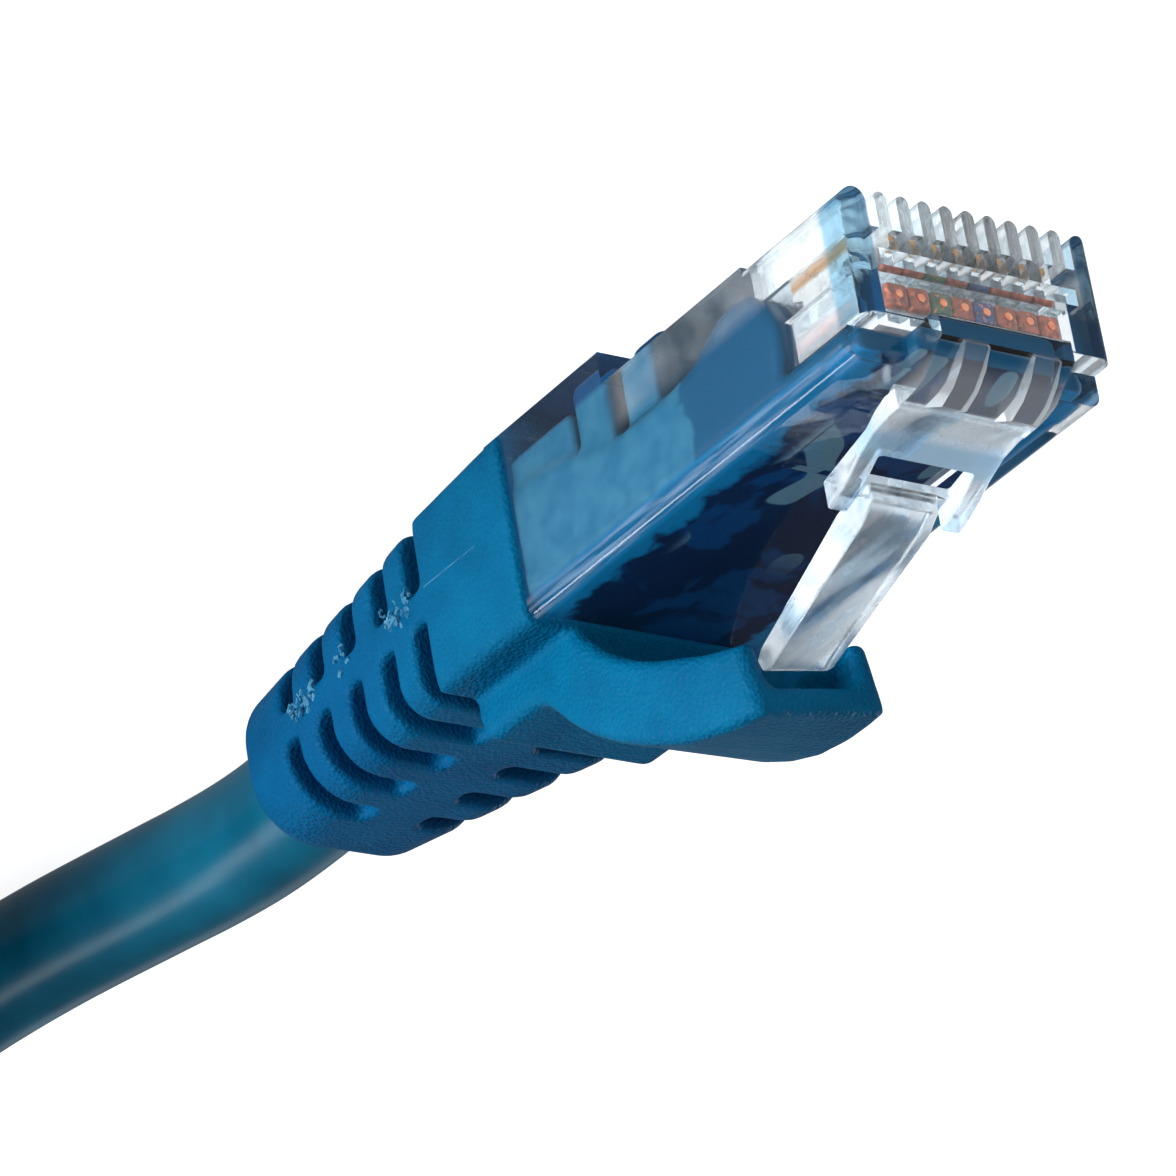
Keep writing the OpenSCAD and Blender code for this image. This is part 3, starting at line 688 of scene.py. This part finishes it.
RUBBER, MOULD, JACKET, FLASH = rubber(), mould(), jacket(), scraps()
CLEAR = clear("clear plastic")
BAR = clear("clear bar", tint=(0.9, 0.95, 0.98, 1), rough=0.08, frost=0.16)
ARM = clear("clear latch", tint=(0.93, 0.97, 1, 1), frost=0.09, drawn=0.46)
GOLD = contact()
COPPER = metal("copper", rgb(255, 170, 120), rgb(214, 110, 70), 0.3)
STRAP = strap()
WHITE = rgb(226, 224, 214)
HUES = {"orange": rgb(205, 98, 30), "green": rgb(30, 112, 66), "blue": rgb(28, 66, 150),
        "brown": rgb(104, 62, 38)}
ENDS = {"orange": rgb(186, 92, 62), "green": rgb(66, 110, 76), "blue": rgb(44, 82, 142),
        "brown": rgb(168, 78, 52), "white_orange": rgb(200, 96, 62), "white_green": rgb(180, 92, 62),
        "white_blue": rgb(176, 88, 62), "white_brown": rgb(176, 84, 58)}
PIN = ["white_orange", "orange", "white_green", "blue", "white_blue", "green", "white_brown", "brown"]
WIRE = {}
for wire_name in PIN:
    hue = HUES[wire_name.removeprefix("white_")]
    striped = wire_name.startswith("white")
    WIRE[wire_name] = insulation("wire " + wire_name, WHITE if striped else hue, hue if striped else None,
                                 ENDS[wire_name])


# ---------------------------------------------------------------- boot and latch guard, one rubber skin
COLLAR_END, TAIL_END = -28.7, -44.5
COLLAR_HW, COLLAR_X = 6.1, -22.3
BOOT_SIDE = [(COLLAR_END, -0.93), (COLLAR_X, -1.5), (-20.0, -1.5), (-20.0, 6.9), (COLLAR_X, 6.9),
             (COLLAR_END, 6.82)]
GUARD_TIP = -13.9
GUARD_OUTER = [(-29.0, 7.6), (-28.7, 8.45), (-28.4, 8.62), (-26.8, 8.66), (-25.4, 8.68), (-24.75, 8.95),
               (-24.2, 9.55), (-23.5, 10.35), (-22.5, 11.25), (-21.2, 12.15), (-19.6, 12.98), (-18.0, 13.58),
               (-16.2, 13.93), (-15.0, 14.02), (GUARD_TIP, 14.03)]
GUARD_INNER = [(GUARD_TIP, 11.1), (-14.8, 10.92), (-15.9, 10.68), (-17.2, 10.25), (-18.4, 9.86), (-19.4, 9.4),
               (-20.3, 8.86), (-21.1, 8.2), (-21.8, 7.45), (-22.3, 6.75), (-23.5, 6.3), (-28.0, 6.3),
               (-28.9, 6.6)]
GROOVE_X, GROOVE_HALF, GROOVE_DEPTH = [-29.2, -31.95, -34.74, -37.52, -40.3], 0.58, 1.5
SIDE_SPINE, FLAT_SPINE = 0.7, 1.3           # half widths of the spines that the grooves leave standing


def taper(x):
    """Half width, middle height, half height and corner radius of the boot behind its collar."""
    u = np.clip((COLLAR_END - x) / (COLLAR_END - TAIL_END), 0, 1)
    return 6.02 - 1.74 * u, 2.83 - 0.83 * u, 3.86 - 0.36 * u, 0.9 + 2.0 * u ** 0.8


def ribbed_field(x, y, z):
    """Tail of the boot: a tapering rounded bar with grooves between its spines."""
    a, c, b, r = taper(x)
    qy, qz = np.abs(y) - (a - r), np.abs(z - c) - (b - r)
    body = np.minimum(np.maximum(qy, qz), 0) + np.sqrt(np.maximum(qy, 0) ** 2 + np.maximum(qz, 0) ** 2) - r
    ribbed = both(both(body, x + 28.0, 0.1), TAIL_END - x, 0.8)
    on_side = np.abs(y) / a > np.abs(z - c) / b
    spine = np.where(on_side, SIDE_SPINE - np.abs(z - c), FLAT_SPINE - np.abs(y))
    for groove_x in GROOVE_X:
        slot = both(np.abs(x - groove_x) - GROOVE_HALF, spine, 0.36)
        slot = both(slot, -(body + GROOVE_DEPTH), 0.1)
        ribbed = both(ribbed, -slot, 0.22)
    return ribbed


def from_table(x, z, outline, x0, x1, z0, z1, pitch=0.1):
    """Distance to an outline at many points, worked out once on a grid and read off between its nodes."""
    xs, zs = np.arange(x0, x1, pitch, dtype=np.float32), np.arange(z0, z1, pitch, dtype=np.float32)
    table = polygon_distance(xs[:, None], zs[None, :], outline)
    ix = np.clip((x - x0) / pitch, 0, len(xs) - 1.001) + 0 * z
    iz = np.clip((z - z0) / pitch, 0, len(zs) - 1.001)
    i0, k0 = ix.astype(int), iz.astype(int)
    fx, fz = ix - i0, iz - k0
    return (table[i0, k0] * (1 - fx) * (1 - fz) + table[i0 + 1, k0] * fx * (1 - fz)
            + table[i0, k0 + 1] * (1 - fx) * fz + table[i0 + 1, k0 + 1] * fx * fz)


def guard_field(x, y, z):
    """Tongue that arches over the finger, scooped out underneath. It rolls a little towards its tip."""
    roll, axis_z, wall = TIP_ROLL * np.clip((x + 24.0) / 10.0, 0, 1) ** 1.3, 9.5, 1.0
    cy, sy = np.cos(roll), np.sin(roll)
    gy, gz = y * cy - (z - axis_z) * sy, axis_z + y * sy + (z - axis_z) * cy
    outline = from_table(x, gz, GUARD_OUTER + GUARD_INNER, -31, -12, 4, 17)
    half = 4.0 - 0.75 * np.clip((x - COLLAR_X) / (GUARD_TIP - COLLAR_X), 0, 1)
    guard = both(outline, np.abs(gy) - half, 0.5)
    roof = 12.85 - 0.35 * np.clip((GUARD_TIP - x) / 4, 0, 1)
    scoop = both(np.abs(gy) - (half - wall), gz - roof, 0.6)
    scoop = both(scoop, -17.6 - x, 0.5)
    return both(guard, -scoop, 0.35)


def boot_field(x, y, z):
    side = polygon_distance(x[:, :, 0], z[0, 0, :][None, :], BOOT_SIDE)[:, None, :]
    collar = both(side, np.abs(y) - COLLAR_HW, 0.62)
    collar = both(collar, x - COLLAR_X, 0.12)
    d = either(collar, ribbed_field(x, y, z), 0.12)
    d = either(d, guard_field(x, y, z), 0.28)
    hole = np.sqrt(y ** 2 + (z - 2.0) ** 2) - CABLE_R + 0.05
    return both(d, -both(hole, x + 40.0), 0.25)


boot = field_object("boot", (-45.1, -6.7, -2.1), (-13.3, 6.7, 14.7), 0.16, boot_field)
place(boot, "boot_skin", RUBBER, replaces=("boot", "latch_guard"),
      blend=(ROOT, "guard_arm", (-24.9, 0, 7.4), (-23.0, 0, 10.2)))


# ---------------------------------------------------------------- scraps of flash on the boot's side spine
def joined(objects, name):
    bm = bmesh.new()
    for ob in objects:
        bm.from_mesh(ob.data)
        bpy.data.objects.remove(ob)
    me = bpy.data.meshes.new(name)
    bm.to_mesh(me)
    bm.free()
    ob = bpy.data.objects.new(name, me)
    scene.collection.objects.link(ob)
    return ob


def flash():
    """Scraps of rubber: flat crumbs in three heaps, every fifth of them a curl, and one thin line."""
    rng = np.random.default_rng(11)
    strips = []
    for cx, cz, reach, count in ((-30.5, 2.3, 1.0, 30), (-38.9, 1.9, 1.1, 26), (-35.4, 2.0, 0.5, 6)):
        for k in range(count):
            x, z = cx + rng.uniform(-reach, reach), cz + rng.uniform(-0.5, 0.5)
            curl = k % 5 == 0
            a, turn = rng.uniform(0, 2 * math.pi), rng.uniform(-1.1, 1.1)
            line, lift = [], -0.02
            for _ in range(6 if curl else 3):
                y = float(taper(np.float64(x))[0]) + lift
                line.append((x, y, z))
                x, z = x + 0.15 * math.cos(a), z + 0.15 * math.sin(a)
                a += turn
                lift = max(-0.03, lift + (rng.uniform(-0.02, 0.1) if curl else rng.uniform(-0.03, 0.05)))
            strips.append(tube(line, rng.uniform(0.04, 0.06) if curl else rng.uniform(0.07, 0.13), 5))
    strips.append(tube([(-28.2, 6.085, 2.35), (-26.6, 6.09, 2.37), (-24.6, 6.08, 2.4)], 0.03, 5))
    return joined(strips, "flash")


place(shade(flash(), 60), "flash", FLASH, ends=("near",))


# ---------------------------------------------------------------- inner mould
MOULD_SIDE = [(-24.3, 0.9), (-21.8, 0.9), (-19.1, 1.3), (-17.2, 1.9), (-15.3, 2.25), (-12.0, 2.2),
              (-10.4, 1.95), (-9.6, 1.5), (-8.6, 1.0), (-7.6, 0.85), (-6.6, 1.05), (-5.8, 1.8), (-5.2, 3.0),
              (-5.25, 4.2), (-5.5, 5.12), (-1.6, 5.12), (-1.55, 6.15), (-3.0, 6.2), (-3.4, 5.95),
              (-24.3, 5.95)]
MOULD_HW = 5.42


def mould_field(x, y, z):
    """Wavy core, with the lumps at its foot and the block behind the latch's root."""
    side = polygon_distance(x[:, :, 0], z[0, 0, :][None, :], MOULD_SIDE)[:, None, :]
    d = both(side, np.abs(y) - MOULD_HW, 0.55)
    lump = box_field(x, y, z, (-16.8, 0, 0.6), (1.1, 5.2, 1.6), 0.4)
    bulge = box_field(x, y, z, (-14.0, 0, 0.6), (1.05, 4.7, 1.92), 0.35)
    tail = box_field(x, y, z, (-20.8, 0, 0.8), (2.6, 5.0, 1.1), 0.4)
    behind_root = box_field(x, y, z, (-2.0, 0, 5.6), (1.35, 2.9, 0.58), 0.2)
    for other in (lump, bulge, tail):
        d = either(d, other, 0.3)
    return either(d, behind_root, 0.2)


core = field_object("mould", (-24.7, -5.7, -1.8), (-0.3, 5.7, 6.6), 0.18, mould_field)
place(core, "mould", MOULD, replaces=("inner_mould",))


# ---------------------------------------------------------------- clear plug body
RIDGE_R, COMB_HW = (PITCH - SLOT_W) / 2, 4.5 * PITCH + SLOT_W / 2
PIN_Y = [(i - 4.5) * PITCH for i in range(1, 9)]            # pins 1 to 8
BODY_LOW, NOSE_TOP, WIRE_Z = -1.42, 5.33, 3.95


def comb_cutter():
    """What is cut from the contact side: the slots, the rounded tops of the ridges and two side columns."""
    col_r = (PLUG_HW - COMB_HW) / 2
    line = [(-7, -1), (-7, col_r)] + arc(-COMB_HW - col_r, col_r, col_r, 180, 360, 10)
    for i in range(9):
        y = (i - 4) * PITCH
        line += [(y - PITCH / 2 - SLOT_W / 2, 1.6), (y - PITCH / 2 + SLOT_W / 2, 1.6)]
        line += arc(y, RIDGE_R, RIDGE_R, 180, 360, 8)
    line += [(COMB_HW - SLOT_W, 1.6), (COMB_HW, 1.6)]
    line += arc(COMB_HW + col_r, col_r, col_r, 180, 360, 10) + [(7, col_r), (7, -1)]
    return prism(line, 0, SLOT_END, 1)


def latch_root():
    """Curved shelf on the nose that the latch bends from, and its two gussets."""
    root = prism([(-1.4, 5.2), (0.0, 5.2), (0.35, 5.25), (0.8, 5.45), (0.8, 6.3), (0.5, 6.5), (-0.06, 6.92),
                  (-0.6, 7.38), (-1.2, 7.56), (-1.76, 7.64), (-2.7, 7.67), (-2.9, 7.2), (-2.6, 6.83),
                  (-2.1, 6.6)], 1, -3.1, 3.1)
    gusset = [(0.7, 6.2), (0.86, 6.5), (0.35, 7.25), (-0.3, 7.8), (-1.1, 8.15), (-2.0, 7.7), (-2.2, 7.3),
              (-0.5, 6.6)]
    return root, [prism(gusset, 1, y0, y1) for y0, y1 in GUSSETS]


def housing_mesh():
    """Clear body, with the root of its latch and the room for all that it holds."""
    side = [(0, 0), (0, NOSE_TOP), (-1.2, NOSE_TOP), (-1.2, PLUG_TOP), (-23.4, PLUG_TOP), (-23.4, BODY_LOW),
            (-15.6, BODY_LOW), (-15.6, 0)]
    body = prism(side, 1, -PLUG_HW, PLUG_HW)
    body = common(body, prism(rounded(PLUG_HW, BODY_LOW, PLUG_TOP, 0.12, 0.52), 0, -24, 1))
    r = 0.6                                                 # of the upright corners at the nose
    corners = arc(-r, r - PLUG_HW, r, -90, 0) + arc(-r, PLUG_HW - r, r, 0, 90)
    body = common(body, prism(corners + [(-25, PLUG_HW), (-25, -PLUG_HW)], 2, -3, 8))
    root, gussets = latch_root()
    body = union(union(body, root), gussets)
    body = cut(body, comb_cutter())
    for y in PIN_Y:                                         # slots for the blades
        body = cut(body, block(SLOT_END, -0.7, y - SLOT_W / 2, y + SLOT_W / 2, 0.2, 3.2))
    body = cut(body, block(-7.5, -1.0, -4.45, 4.45, 2.95, 4.92))            # load bar
    mould_room = [(-24, 1.4), (-19, 1.8), (-16, 2.6), (-10.2, 2.5), (-8.2, 1.4), (-7.0, 1.5), (-5.9, 3.0),
                  (-5.9, 4.8), (-6.6, 5.4), (-24, 5.4)]
    body = cut(body, prism(mould_room, 1, -5.0, 5.0))
    body = cut(body, block(-14.6, -13.4, -4.4, 4.4, -1.0, 3.0))             # opening at the mould's bulge
    body = cut(body, block(-9.0, -3.2, -3.4, 3.4, 6.45, 7.2))               # hollow under the latch
    return cut(body, block(-1.3, 0.1, -4.62, 4.62, 2.5, 3.2))               # slit in the nose


house = shade(round_edges(housing_mesh(), 0.09, 2))
place(house, "housing_clear", CLEAR, replaces=("housing",))


def latch_mesh():
    """Arm with its two shoulders, and the finger between and beyond them."""
    arm = prism([(-2.3, 6.86), (-3.0, 6.85), (-3.7, 7.12), (-4.33, 7.5), (-7.25, 8.22), (-7.25, 9.38),
                 (-6.6, 9.18), (-5.9, 8.87), (-4.95, 8.3), (-4.0, 7.88), (-3.0, 7.7), (-2.3, 7.66)],
                1, -3.1, 3.1)
    finger = prism([(-6.45, 8.05), (-6.4, 9.1), (-7.18, 9.72), (-14.3, 11.92), (-14.75, 11.85),
                    (-14.85, 11.35), (-14.48, 11.03), (-8.47, 8.62), (-7.0, 8.2)], 1, -1.6, 1.6)
    window = [(-4.85, 7.0), (-6.35, 7.0), (-6.35, 8.44), (-8.0, 8.75), (-8.0, 10.5), (-4.85, 10.5)]
    arm = cut(arm, prism(window, 1, -2.2, 2.2))
    return union(arm, finger)


def rolled(ob):
    """Rolls the finger a little towards its tip, about the line z = 9.8."""
    bm = bmesh.new()
    bm.from_mesh(ob.data)
    start, reach, axis_z = -7.3, 7.2, 9.8
    for v in bm.verts:
        if v.co.x < start:
            a = -TIP_ROLL * min(1, (start - v.co.x) / reach)
            y, z = v.co.y, v.co.z - axis_z
            v.co.y = y * math.cos(a) - z * math.sin(a)
            v.co.z = axis_z + y * math.sin(a) + z * math.cos(a)
    bm.to_mesh(ob.data)
    bm.free()
    return ob


latch = shade(rolled(round_edges(latch_mesh(), 0.12, 3)))
place(latch, "latch_clear", ARM, body="latch_arm", replaces=("latch",))


# ---------------------------------------------------------------- contacts, wires, conductors, load bar
BLADE = [(-0.85, 1.75), (-0.85, 1.3)] + arc(-1.6, 1.3, 0.7, 0, -90, 5)
BLADE += [(-4.9, 0.6), (-4.9, 2.2), (-4.4, 2.4), (-4.2, 3.6), (-3.9, 3.6), (-3.6, 2.7), (-2.9, 2.7),
          (-2.6, 3.6), (-2.3, 3.6), (-2.0, 2.4), (-1.5, 2.0)]
BLADE_HALF, SKIN_R = 0.16, 0.47


def wire_mesh(y, i):
    """Insulated wire: side by side at y in the load bar, then in one of two rows, with a squeezed cut end."""
    row = 0.6 if i % 2 == 0 else -0.6
    y1, z1 = (1.5 - i // 2) * 1.05, 2.75 + row
    route = [(-1.3, y, WIRE_Z), (-5.3, y, WIRE_Z), (-6.2, y, WIRE_Z + row * 0.2),
             (-8.3, y, WIRE_Z + row * 0.9), (-10, y * 0.9 + y1 * 0.1, WIRE_Z + row),
             (-14.5, y * 0.15 + y1 * 0.85, z1 + 0.15), (-15.8, y1, z1)]
    cut_end = block(-1.5, -1.12, y - SKIN_R, y + SKIN_R, WIRE_Z - 0.49, WIRE_Z + SKIN_R)
    return union(tube(smooth_line(route, 5), SKIN_R), round_edges(cut_end, 0.12, 2))


def bar_mesh():
    """Load bar with a bore and a slot for each wire, and lugs between the contacts on its outer edge."""
    bar = block(-5.0, -1.4, -4.3, 4.3, 3.0, 4.88)
    for y in PIN_Y:
        bar = cut(bar, tube([(-6, y, WIRE_Z), (-1, y, WIRE_Z)], 0.475, 20))
        bar = cut(bar, block(-5.2, -1.2, y - 0.2, y + 0.2, 2.9, WIRE_Z))
    bar = cut(bar, block(-1.6, -1.0, -4.12, 4.12, 3.44, 4.44))              # pocket of the cut ends
    for i in range(9):
        y = (i - 4) * PITCH
        lug = [(-0.55, y - 0.36), (-0.3, y - 0.28), (-0.3, y + 0.28), (-0.55, y + 0.36), (-2.4, y + 0.36),
               (-2.4, y - 0.36)]
        bar = union(bar, prism(lug, 2, 2.62, 3.12))
    return bar


for pin, y in enumerate(PIN_Y, 1):
    wire_name = PIN[pin - 1]
    blade = shade(round_edges(prism(BLADE, 1, y - BLADE_HALF, y + BLADE_HALF), 0.05, 2))
    place(blade, f"blade_{pin}", GOLD, replaces=(f"contact_{pin}",))
    wire = shade(wire_mesh(y, 8 - pin), 50)
    place(wire, f"insulation_{pin}", WIRE[wire_name], replaces=(f"wire_{pin}",))
ends = [tube([(-1.04, y, WIRE_Z), (-1.35, y, WIRE_Z)], 0.17, 20) for y in PIN_Y]
place(shade(union(ends[0], ends[1:])), "copper_ends", COPPER, replaces=("conductors",))
place(shade(round_edges(bar_mesh(), 0.04, 2)), "bar_clear", BAR, replaces=("load_bar",))

# ---------------------------------------------------------------- jacket ends, cord, tie
sheath_line = [(TAIL_END, 0, 2.0), (-43, 0, 2.02), (-30, 0, 2.38), (-18, 0, 2.7), (-16.5, 0, 2.74)]
sheath = tube(sheath_line, CABLE_R - 0.01, 48)
place(shade(sheath, 50), "sheath", JACKET, replaces=("jacket",))

curve = bpy.data.curves.new("cord", "CURVE")
curve.dimensions, curve.use_fill_caps = "3D", True
curve.bevel_depth, curve.bevel_resolution = CABLE_R / 1000, 10
spline = curve.splines.new("POLY")
spline.points.add(len(CORD_LINE) - 1)
for p, q in zip(spline.points, CORD_LINE):
    p.co = (*q, 1)
cord = bpy.data.objects.new("cord", curve)
scene.collection.objects.link(cord)
curve.materials.append(JACKET)
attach(cord, ROOT)
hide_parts("near_cable", "coil", "far_cable")


def strap_loop():
    """Strap round the 2 by 2 bundle of turns, bent with the coil about its middle."""
    r0, r1, z0, z1, c = 19.2, 31.55, 0.75, 12.55, 2.7       # the bundle's edges, and its corner radius
    thick, width, mean_r, cols = 0.7, 10, 28.0, 9
    inner = arc(r1 - c, z0 + c, c, -90, 0, 8) + arc(r1 - c, z1 - c, c, 0, 90, 8)
    inner += arc(r0 + c, z1 - c, c, 90, 180, 8) + arc(r0 + c, z0 + c, c, 180, 270, 8)
    middle = np.array([(r0 + r1) / 2, (z0 + z1) / 2])
    outer = []
    for p in inner:
        out = np.array(p) - middle
        outer.append(tuple(np.array(p) + thick * out / np.linalg.norm(out)))
    verts, faces, m = [], [], len(inner)
    for j in range(cols):
        a = (j / (cols - 1) - 0.5) * width / mean_r
        for r, z in inner + outer:
            verts.append((COIL_C.x * 1000 + r * math.cos(a), COIL_C.y * 1000 + r * math.sin(a), z))
    for j in range(cols - 1):
        for start in (j * 2 * m, j * 2 * m + m):
            for i in range(m):
                a0, a1 = start + i, start + (i + 1) % m
                faces.append([a0, a1, a1 + 2 * m, a0 + 2 * m])
    for j in (0, cols - 1):
        for i in range(m):
            a0, a1 = j * 2 * m + i, j * 2 * m + (i + 1) % m
            faces.append([a0, a1, a1 + m, a0 + m])
    return fix_normals(new_object("strap", verts, faces))


tie = shade(strap_loop(), 50)
tie.data.transform(Matrix.Scale(0.001, 4))
tie.data.materials.append(STRAP)
tie.name = "tie_strap"
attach(tie, ROOT)
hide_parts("tie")


# ---------------------------------------------------------------- stage and light
def mirror_ray(tree, path):
    """1 for a reflected glossy ray. Refracted rays count as glossy too, and are left out."""
    reflected = shifted(tree, path.outputs["Is Transmission Ray"], -1.0, 1.0)
    return times(tree, path.outputs["Is Glossy Ray"], reflected)


def stage_white():
    """White to the camera and through glass, and a plain diffuse floor to the rest. In mirrors it is dim near
    the part and white farther off."""
    m, t = material("stage white")
    path = node(t, "ShaderNodeLightPath")
    seen = times(t, path.outputs["Is Camera Ray"], 0.9)
    seen = shifted(t, path.outputs["Is Transmission Ray"], 0.9, seen)
    plain = node(t, "ShaderNodeBsdfDiffuse", Color=(0.8, 0.8, 0.8, 1))
    glow = node(t, "ShaderNodeEmission", Color=(1, 1, 1, 1), Strength=seen)
    lit = node(t, "ShaderNodeAddShader", i0=plain.outputs[0], i1=glow.outputs[0])
    place_on_floor = node(t, "ShaderNodeTexCoord").outputs["Object"]
    away = node(t, "ShaderNodeVectorMath", p_operation="LENGTH", i0=place_on_floor)
    away = node(t, "ShaderNodeMapRange", Value=away.outputs["Value"], i1=0.12, i2=0.5, i3=0.22, i4=0.9)
    mirrored = node(t, "ShaderNodeEmission", Color=(1, 1, 1, 1), Strength=away.outputs[0])
    pick = node(t, "ShaderNodeMixShader", i0=mirror_ray(t, path), i1=lit.outputs[0], i2=mirrored.outputs[0])
    return finish_material(m, t, pick.outputs[0])


def studio():
    """Even pale sky, brighter through glass. In mirrors it is dim but for a band near the horizon."""
    world = bpy.data.worlds.new("studio")
    scene.world = world
    world.use_nodes = True
    world.cycles.sampling_method = "NONE"
    t = world.node_tree
    path = node(t, "ShaderNodeLightPath")
    up_z = split(t, node(t, "ShaderNodeTexCoord").outputs["Generated"])[2]
    band = node(t, "ShaderNodeMapRange", Value=up_z, i1=0.08, i2=0.36, i3=0.6, i4=0.0)
    mirrored = mirror_ray(t, path)
    sky = shifted(t, mirrored, -0.16, 0.22)
    sky = shifted(t, path.outputs["Is Transmission Ray"], 0.6, sky)
    sky = shifted(t, mirrored, band.outputs[0], sky)
    background = t.nodes["Background"]
    background.inputs[0].default_value = (0.9, 0.95, 1.0, 1)
    t.links.new(sky, background.inputs[1])


def area(name, where, target, size, power):
    """Rectangular lamp that faces a target."""
    data = bpy.data.lights.new(name, "AREA")
    data.shape, data.size, data.size_y, data.energy = "RECTANGLE", size[0], size[1], power
    ob = bpy.data.objects.new(name, data)
    scene.collection.objects.link(ob)
    ob.location = where
    ob.rotation_mode = "QUATERNION"
    ob.rotation_quaternion = (Vector(target) - Vector(where)).to_track_quat("-Z", "Y")


floor = new_object("floor", [(-6, -6, 0), (6, -6, 0), (6, 6, 0), (-6, 6, 0)], [(0, 1, 2, 3)])
floor.location.z = -0.00002
floor.data.materials.append(stage_white())
studio()
area("key", (-0.03, 0.8, 0.13), (-0.01, 0, 0.005), (0.5, 0.2), 8.0)
area("front", (0.8, 0.2, 0.24), (0.0, 0, 0.005), (0.3, 0.3), 0.9)
area("edge", (-0.47, 0.30, 0.38), (0.0, 0, 0.005), (0.09, 0.4), 0.7)
area("back", (-0.10, -0.8, 0.16), (-0.03, 0.03, 0.005), (0.5, 0.2), 2.5)
